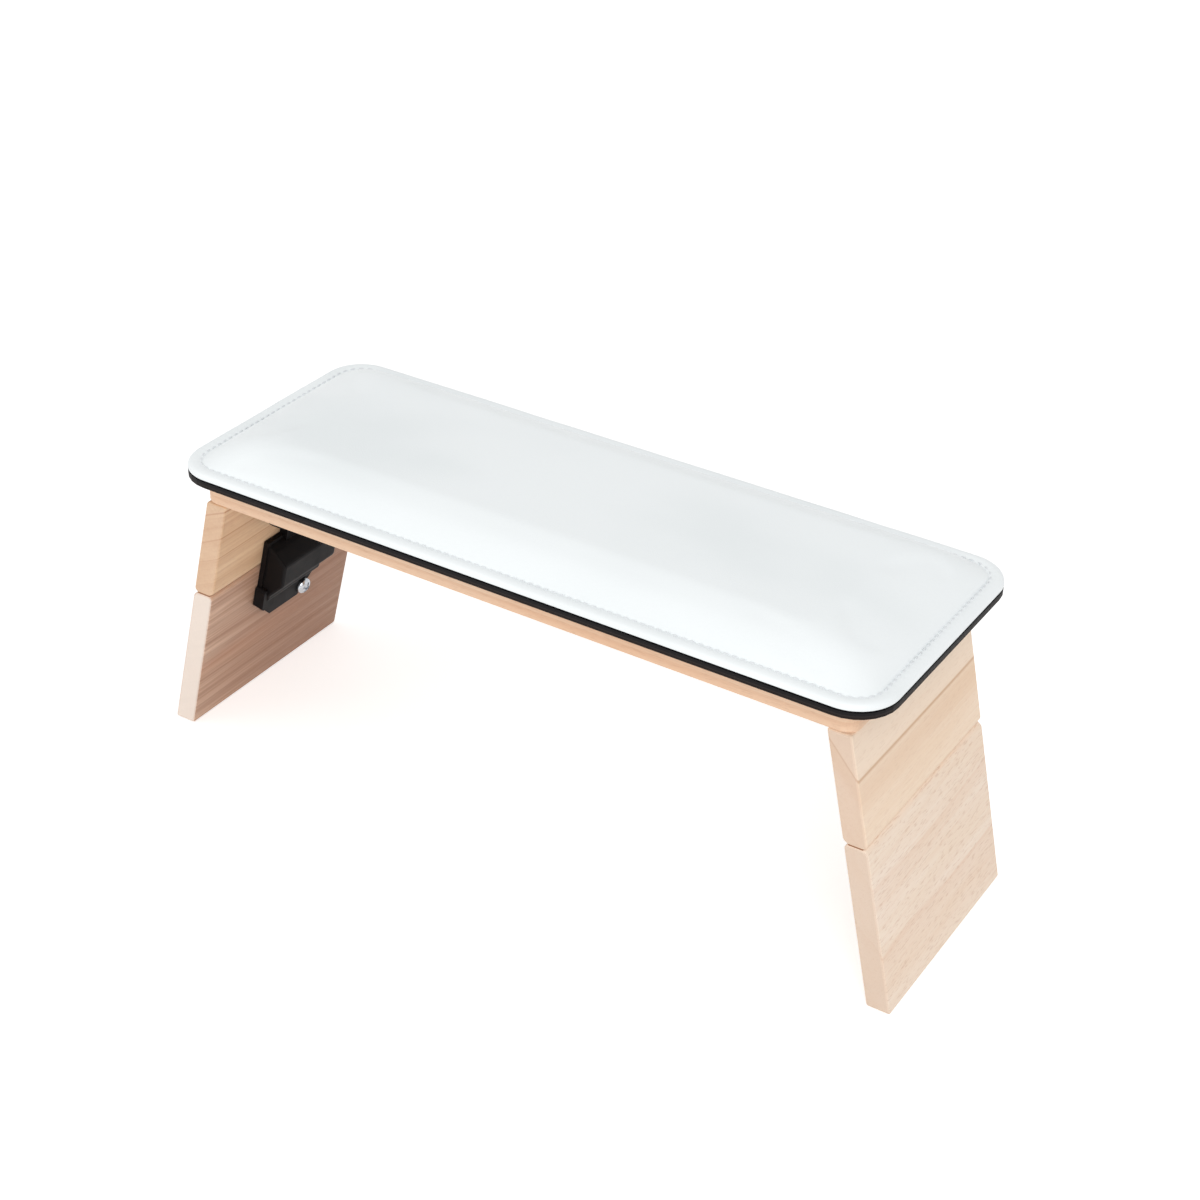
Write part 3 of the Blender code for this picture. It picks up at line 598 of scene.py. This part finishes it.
def dress_wood():
    """Board and legs, each board cut from its own piece of wood; the left lower board's tones also carry painted shade.
    """
    pale = {"light": linear(252, 222, 194), "dark": linear(248, 206, 172), "late": linear(222, 170, 132),
            "end": linear(232, 190, 156), "pore": linear(196, 150, 116)}
    board = dict(pale, grain="X", shift=(0.31, 0.05, 0.02), ring_turn=math.radians(80.0),
                 ring_gap=0.011, ring_share=0.4, warp=0.008, fibre_share=0.16, pore_share=0.18, end_share=0.35)
    dress("top_board", wood("pale_wood", board))
    right_lower = dict(pale, light=linear(250, 234, 218), dark=linear(245, 224, 202), grain="Y",
                       shift=(0.0, 0.31, 0.0), ring_turn=math.radians(30.0), ring_gap=0.013, ring_share=0.22,
                       warp=0.02, fibre_share=0.12, pore_share=0.3, end_share=0.8, end=linear(222, 198, 178))
    dress("right_leg_lower_board", wood("leg_wood_a", right_lower))
    right_upper = dict(right_lower, light=linear(251, 230, 208), dark=linear(246, 220, 192), ring_share=0.1,
                       pore_share=0.12, warp=0.002, ring_turn=math.radians(40.9), shift=(0.0, 0.11, 0.0),
                       end_share=0.6, end=linear(212, 184, 164),
                       bands=((0.1849, 0.0006, 0.75, linear(200, 156, 116)),
                              (0.1825, 0.0050, 0.34, linear(228, 186, 146))),
                       above=(0.1850, 0.0004, 0.65, linear(250, 228, 206)))
    dress("right_leg_upper_board", wood("leg_wood_b", right_upper))
    streak = linear(186, 124, 84)
    left_upper = dict(pale, light=linear(244, 212, 176), dark=linear(230, 194, 156), late=linear(190, 134, 92),
                      grain="Y", shift=(0.0, 0.02, 0.0), ring_turn=math.radians(115.8),
                      ring_gap=0.0093, ring_share=0.3, warp=0.0024, fibre_share=0.25, pore_share=0.2,
                      end_share=0.5, end=linear(218, 184, 158),
                      bands=((0.1690, 0.0007, 0.8, streak), (0.1578, 0.0005, 0.55, streak),
                             (0.1492, 0.0005, 0.45, streak), (0.1630, 0.0016, 0.3, streak)))
    dress("left_leg_upper_board", wood("leg_wood_c", left_upper))
    brown = linear(140, 92, 66)
    # The left lower board's light, dark and late tones are partly its wood and partly painted shade of its shaded inner
    # face. Its pale end colour leaves its front and back faces lighter than that painted shade.
    left_lower = dict(left_upper, light=linear(250, 220, 196), dark=linear(220, 180, 152),
                      late=linear(150, 102, 78), shift=(0.0, 0.07, 0.0), ring_gap=0.012, warp=0.006,
                      fibre_share=0.5, ring_share=0.45, end_share=0.92, end=linear(244, 230, 218),
                      # Painted shade, deepening towards the back of the board
                      along=(-0.055, 0.055, 0.72, linear(152, 108, 84)),
                      bands=((0.0885, 0.0022, 0.5, brown), (0.1125, 0.0016, 0.45, brown),
                             (0.0700, 0.0007, 0.7, brown), (0.1010, 0.0050, 0.3, linear(186, 122, 88))))
    dress("left_leg_lower_board", wood("leg_wood_d", left_lower))
    dowel = dict(pale, grain="Y", shift=(0.0, 0.0, 0.0), ring_turn=0.3, ring_gap=0.004, ring_share=0.3,
                 warp=0.002, fibre_share=0.2, pore_share=0.2, end_share=0.2)
    dowel_look = wood("dowel_wood", dowel)
    for side in ("left", "right"):
        for end in ("front", "back"):
            dress(f"{side}_leg_dowel_{end}", dowel_look)


def head_mesh(name):
    """Mesh of a dome-headed screw of unit head radius and height, with a cross recess."""
    steps = [-1.0, -0.93, -0.82, -CROSS_REACH - 0.03, -CROSS_REACH, -0.42, -CROSS_WIDTH - 0.03, -CROSS_WIDTH, 0.0]
    steps += [-value for value in reversed(steps[:-1])]
    bm = bmesh.new()
    grid = []
    for v in steps:
        row = []
        for u in steps:
            x = u * math.sqrt(1.0 - v * v / 2.0)
            y = v * math.sqrt(1.0 - u * u / 2.0)
            spread = min(1.0, x * x + y * y)
            height = 0.2 + 0.8 * math.sqrt(1.0 - spread)
            near, far = sorted((abs(u), abs(v)))
            if near <= CROSS_WIDTH and far <= CROSS_REACH:
                height -= CROSS_DEPTH * (1.0 - 0.5 * far / CROSS_REACH)
            row.append(bm.verts.new((x, y, height)))
        grid.append(row)
    for low, high in zip(grid, grid[1:]):
        for index in range(len(steps) - 1):
            bm.faces.new((low[index], low[index + 1], high[index + 1], high[index]))
    loop = grid[0][:-1] + [row[-1] for row in grid[:-1]]
    loop += list(reversed(grid[-1][1:])) + [row[0] for row in reversed(grid[1:])]
    for share, height in ((1.0, 0.0), (0.45, 0.0), (0.45, -2.4), (0.02, -3.6)):
        ring = [bm.verts.new((vert.co.x / vert.co.xy.length * share, vert.co.y / vert.co.xy.length * share, height))
                for vert in loop]
        for index, vert in enumerate(loop):
            after = (index + 1) % len(loop)
            bm.faces.new((vert, loop[after], ring[after], ring[index]))
        loop = ring
    bm.faces.new(loop)
    bmesh.ops.recalc_face_normals(bm, faces=bm.faces)
    mesh = bpy.data.meshes.new(name)
    bm.to_mesh(mesh)
    bm.free()
    mesh.shade_smooth()
    mesh.set_sharp_from_angle(angle=math.radians(38.0))
    return mesh


def far_point(name, heading):
    """How far a node reaches along a heading."""
    return max(vertex.co.dot(heading) for vertex in NODES[name].data.vertices)


def make_screw(name, heading, height, look, body, turn):
    """Puts a cross-headed screw on the place of a plain one. Its head faces the heading."""
    points = [vertex.co for vertex in NODES[name].data.vertices]
    top = far_point(name, heading)
    rim = [point for point in points if top - height * 1.01 < point.dot(heading) < top - height * 0.5]
    middle = sum(rim, Vector()) / len(rim)
    middle += heading * (top - height - middle.dot(heading))
    radius = max((point - middle - heading * (point - middle).dot(heading)).length for point in rim)
    mesh = head_mesh(name + "_head")
    place = Matrix.Translation(middle) @ heading.to_track_quat("Z", "Y").to_matrix().to_4x4()
    mesh.transform(place @ Matrix.Rotation(turn, 4, "Z") @ Matrix.Diagonal((radius, radius, height, 1.0)))
    made = piece(name + "_head", mesh, look, body)
    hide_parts(name)


def make_screws(zinc, bright):
    """The screws of both brackets, each turned in by hand to its own angle."""
    for index, name in enumerate(sorted(item for item in NODES if "screw" in item)):
        side = "left" if name.startswith("left") else "right"
        turn = 0.7 + 1.9 * index
        if "board" in name:
            make_screw(name, Vector((0.0, 0.0, -1.0)), SMALL_HEAD_HEIGHT, zinc, "rest", turn)
            continue
        inward = 1.0 if side == "left" else -1.0
        heading = Vector((inward * math.cos(LEG_SPLAY), 0.0, -math.sin(LEG_SPLAY)))
        if name.endswith("lower"):
            make_screw(name, heading, LARGE_HEAD_HEIGHT, bright, side + "_leg", turn)
        else:
            make_screw(name, heading, SMALL_HEAD_HEIGHT, zinc, side + "_leg", turn)


def dress_fittings():
    """Brackets, hinge pins, spacers and screws."""
    coated = moulding("black_steel", linear(12, 10, 10), linear(44, 44, 47), 0.46)
    moulded = moulding("black_moulding", linear(14, 11, 11), linear(34, 35, 39), 0.46)
    for name in NODES:
        if "board_bracket" in name or "hinge" in name:
            dress(name, coated)
        elif "leg_bracket" in name:
            dress(name, moulded)
    zinc = metal("dark_zinc", linear(120, 120, 124), 0.3, linear(86, 86, 90))
    bright = metal("chrome", linear(214, 218, 222), 0.16, linear(168, 172, 178))
    make_screws(zinc, bright)


def direct_rays(tree):
    """Whether a ray comes from the camera, and whether it is a camera, transmission or glossy ray."""
    path = node(tree, "ShaderNodeLightPath")
    camera_ray = path.outputs["Is Camera Ray"]
    either = maths(tree, "MAXIMUM", camera_ray, path.outputs["Is Transmission Ray"])
    return camera_ray, maths(tree, "MAXIMUM", either, path.outputs["Is Glossy Ray"])


def make_stage():
    """White floor that keeps the shadow and is clear from below, and a plain white surround."""
    world = bpy.data.worlds.new("surround")
    bpy.context.scene.world = world
    world.use_nodes = True
    tree = world.node_tree
    plain = tree.nodes["Background"]
    plain.inputs[0].default_value = (1.0, 1.0, 1.0, 1.0)
    plain.inputs[1].default_value = SURROUND_LIGHT
    seen = node(tree, "ShaderNodeBackground", None, Color=(1.0, 1.0, 1.0, 1.0), Strength=1.0)
    _, direct = direct_rays(tree)
    mix = node(tree, "ShaderNodeMixShader", None, i0=direct, i1=plain.outputs[0], i2=seen.outputs[0])
    tree.links.new(mix.outputs[0], tree.nodes["World Output"].inputs[0])
    bpy.ops.mesh.primitive_plane_add(size=30.0, location=(0.0, 0.0, -0.0002))
    floor = bpy.context.object
    floor.name = "floor"
    made, tree, shader = shade("floor_white")
    shader.inputs["Base Color"].default_value = (0.85, 0.85, 0.85, 1.0)
    shader.inputs["Roughness"].default_value = 0.9
    shader.inputs["Specular IOR Level"].default_value = 0.0
    glow = node(tree, "ShaderNodeEmission", None, Color=(1.0, 1.0, 1.0, 1.0), Strength=FLOOR_GLOW)
    both = node(tree, "ShaderNodeAddShader", None, i0=shader.outputs[0], i1=glow.outputs[0])
    camera_ray, direct = direct_rays(tree)
    mix = node(tree, "ShaderNodeMixShader", None, i0=direct, i1=shader.outputs[0], i2=both.outputs[0])
    below = maths(tree, "MULTIPLY", node(tree, "ShaderNodeNewGeometry").outputs["Backfacing"], camera_ray)
    clear = node(tree, "ShaderNodeBsdfTransparent")
    open_below = node(tree, "ShaderNodeMixShader", None, i0=below, i1=mix.outputs[0], i2=clear.outputs[0])
    tree.links.new(open_below.outputs[0], tree.nodes["Material Output"].inputs[0])
    floor.data.materials.append(made)


def area_light(name, place, size, power):
    """A soft round white lamp that faces the object."""
    data = bpy.data.lights.new(name, "AREA")
    data.shape = "DISK"
    data.size = size
    data.energy = power
    made = bpy.data.objects.new(name, data)
    bpy.context.scene.collection.objects.link(made)
    made.location = place
    made.rotation_mode = "QUATERNION"
    made.rotation_quaternion = (Vector(LAMP_AIM) - Vector(place)).to_track_quat("-Z", "Y")


def make_camera():
    """Camera at the photograph's place."""
    yaw, pitch, roll = (math.radians(value) for value in (CAMERA_YAW, CAMERA_PITCH, CAMERA_ROLL))
    ahead = Vector((-math.sin(yaw) * math.cos(pitch), math.cos(yaw) * math.cos(pitch), -math.sin(pitch)))
    right = ahead.cross(Vector((0.0, 0.0, 1.0))).normalized()
    up = right.cross(ahead)
    own_right = right * math.cos(roll) + up * math.sin(roll)
    own_up = up * math.cos(roll) - right * math.sin(roll)
    data = bpy.data.cameras.new("camera")
    data.lens = CAMERA_LENS
    data.sensor_width = CAMERA_SENSOR
    camera = bpy.data.objects.new("camera", data)
    bpy.context.scene.collection.objects.link(camera)
    camera.matrix_world = Matrix.Translation(CAMERA_PLACE) @ Matrix((own_right, own_up, -ahead)).transposed().to_4x4()
    bpy.context.scene.camera = camera


make_camera()
make_stage()
area_light("key", KEY_PLACE, KEY_SIZE, KEY_POWER)
area_light("fill", FILL_PLACE, FILL_SIZE, FILL_POWER)
bpy.context.scene.view_settings.view_transform = "Standard"

# The second colour is painted shade, used for the cover's shade and reflection patches and for its grooves.
WHITE = leather("white_leather", linear(244, 248, 249), linear(236, 241, 242))
make_rim(WHITE)
make_cushion(WHITE)
make_stitches(thread_look("thread"))
dress("pad_backing", backing("black_backing"))
dress_wood()
# Painted shadow strips in the leg joints
make_joint_shadow()
dress_fittings()
